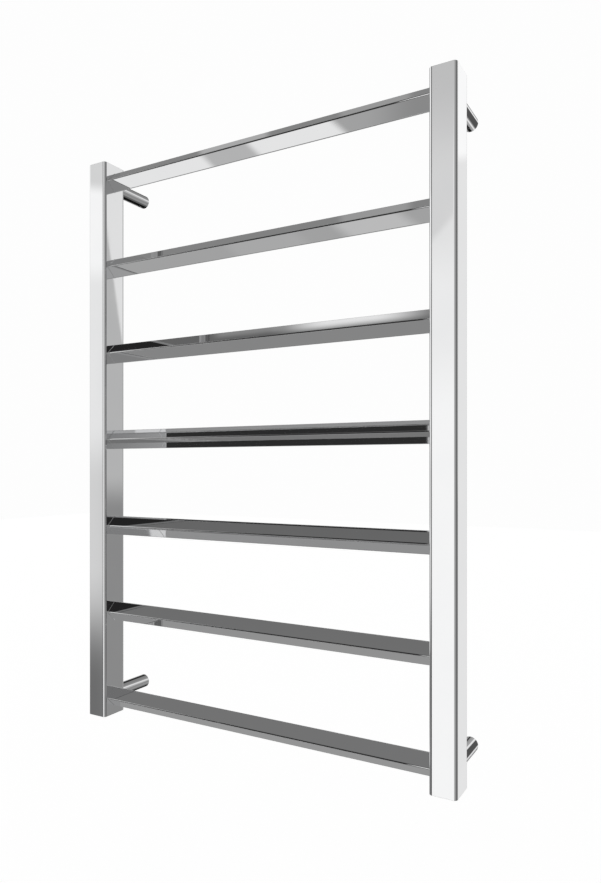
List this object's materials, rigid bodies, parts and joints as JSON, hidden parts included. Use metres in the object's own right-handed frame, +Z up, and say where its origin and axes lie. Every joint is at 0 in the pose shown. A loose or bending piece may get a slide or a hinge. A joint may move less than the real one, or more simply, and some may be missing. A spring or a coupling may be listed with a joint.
{
  "type": "towel warmer rack",
  "caption": "Wall-hung ladder towel warmer: rectangular uprights joined by level square bars set on edge, held off the wall by round stand-offs.",
  "frame": {"origin": "on the wall's surface, midway between the four wall fixings", "axes": "+Z up the rail, +Y into the wall, +X to the right of someone facing the rail"},
  "size_m": [0.55, 0.102, 0.8],
  "materials": {
    "polished_steel": "mirror polished stainless",
    "plain_steel": "turned, unpolished",
    "black_steel": "black oxide",
    "brass": "plain",
    "tinned_copper": "tinned",
    "rubber": "matt",
    "silicone": "satin silicone",
    "heat_shrink": "satin"
  },
  "bodies": {
    "root": {"left_upright": "polished_steel", "top_left_end_plate": "polished_steel", "bottom_left_end_plate": "polished_steel", "right_upright": "polished_steel", "top_right_end_plate": "polished_steel", "bottom_right_end_plate": "polished_steel", "bar_1": "polished_steel", "bar_2": "polished_steel", "bar_3": "polished_steel", "bar_4": "polished_steel", "bar_5": "polished_steel", "bar_6": "polished_steel", "bar_7": "polished_steel", "top_left_standoff_barrel": "polished_steel", "top_left_spigot": "plain_steel", "top_left_wall_boss": "plain_steel", "top_left_grub_screw": "black_steel", "bottom_left_standoff_barrel": "polished_steel", "bottom_left_spigot": "plain_steel", "bottom_left_wall_boss": "plain_steel", "bottom_left_grub_screw": "black_steel", "top_right_standoff_barrel": "polished_steel", "top_right_spigot": "plain_steel", "top_right_wall_boss": "plain_steel", "top_right_grub_screw": "black_steel", "bottom_right_standoff_barrel": "polished_steel", "bottom_right_spigot": "plain_steel", "bottom_right_wall_boss": "plain_steel", "bottom_right_grub_screw": "black_steel", "supply_grommet": "rubber", "heating_cable": "silicone", "cable_end_seal": "silicone", "cable_joint_sleeve": "heat_shrink", "live_crimp": "tinned_copper", "neutral_crimp": "tinned_copper", "thermal_cut_out": "plain_steel", "earth_stud": "plain_steel", "earth_washer": "plain_steel", "earth_lug": "tinned_copper", "earth_nut": "brass"}
  },
  "joints": []
}
